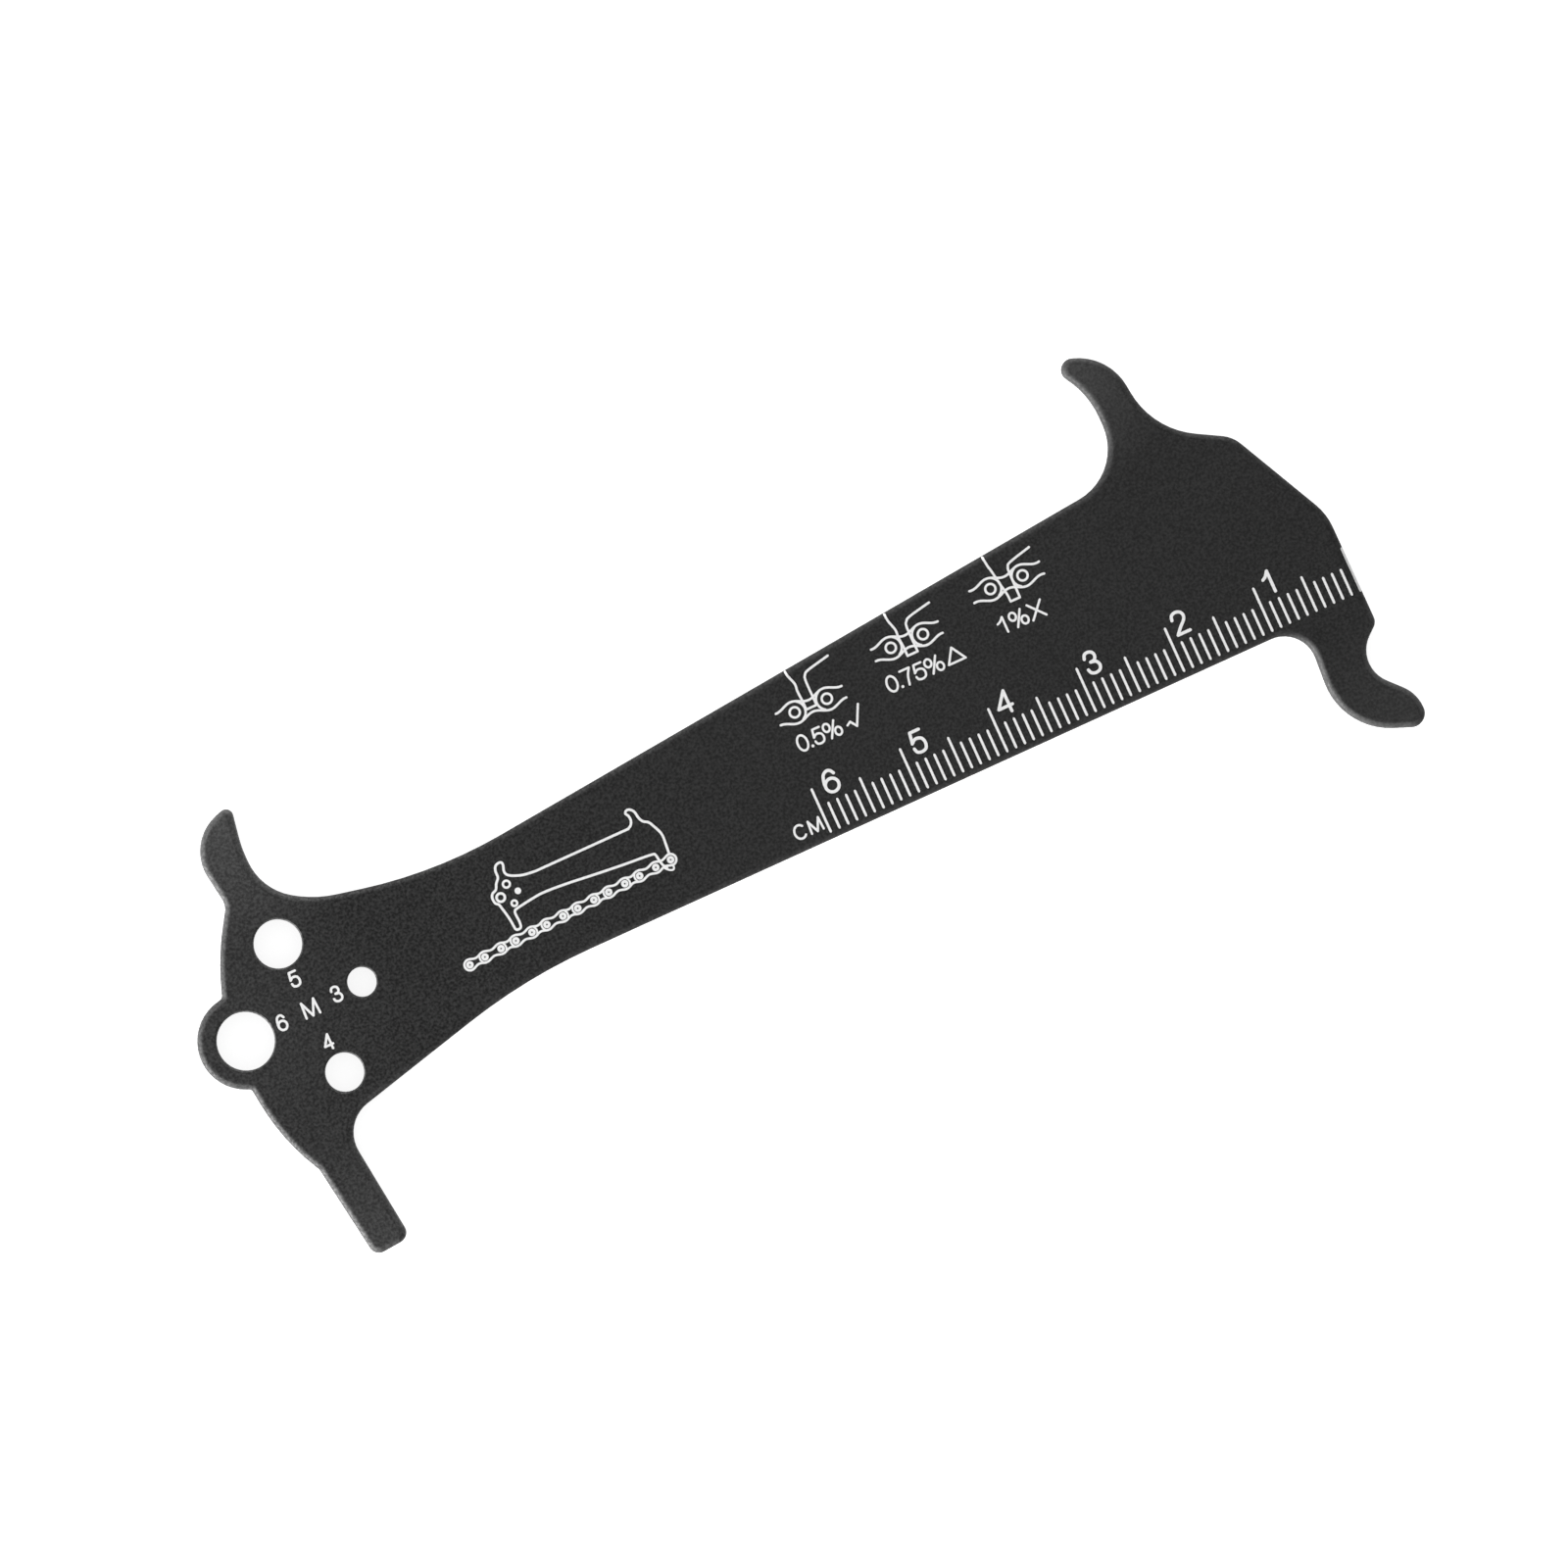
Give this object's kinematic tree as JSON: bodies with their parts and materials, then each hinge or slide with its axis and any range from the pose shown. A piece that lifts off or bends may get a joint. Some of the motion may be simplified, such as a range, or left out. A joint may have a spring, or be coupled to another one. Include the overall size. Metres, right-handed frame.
{
  "type": "chain wear gauge",
  "caption": "Flat steel chain wear gauge: arm and curved probe under a straight rule edge, horn and hook over it, bolt holes in its eye end.",
  "frame": {"origin": "centre of the eye, the largest bolt hole, on the back face", "axes": "+X along the rule edge towards its zero end, +Y towards the horn and the hook, +Z out of the printed face"},
  "size_m": [0.1299, 0.0546, 0.002],
  "materials": {
    "black_coat": "matt black coat on tumbled sheet steel, a little brighter where the round edges are worn",
    "white_ink": "white ink printed on the face"
  },
  "bodies": {
    "root": {"gauge_plate": "black_coat"}
  },
  "joints": []
}
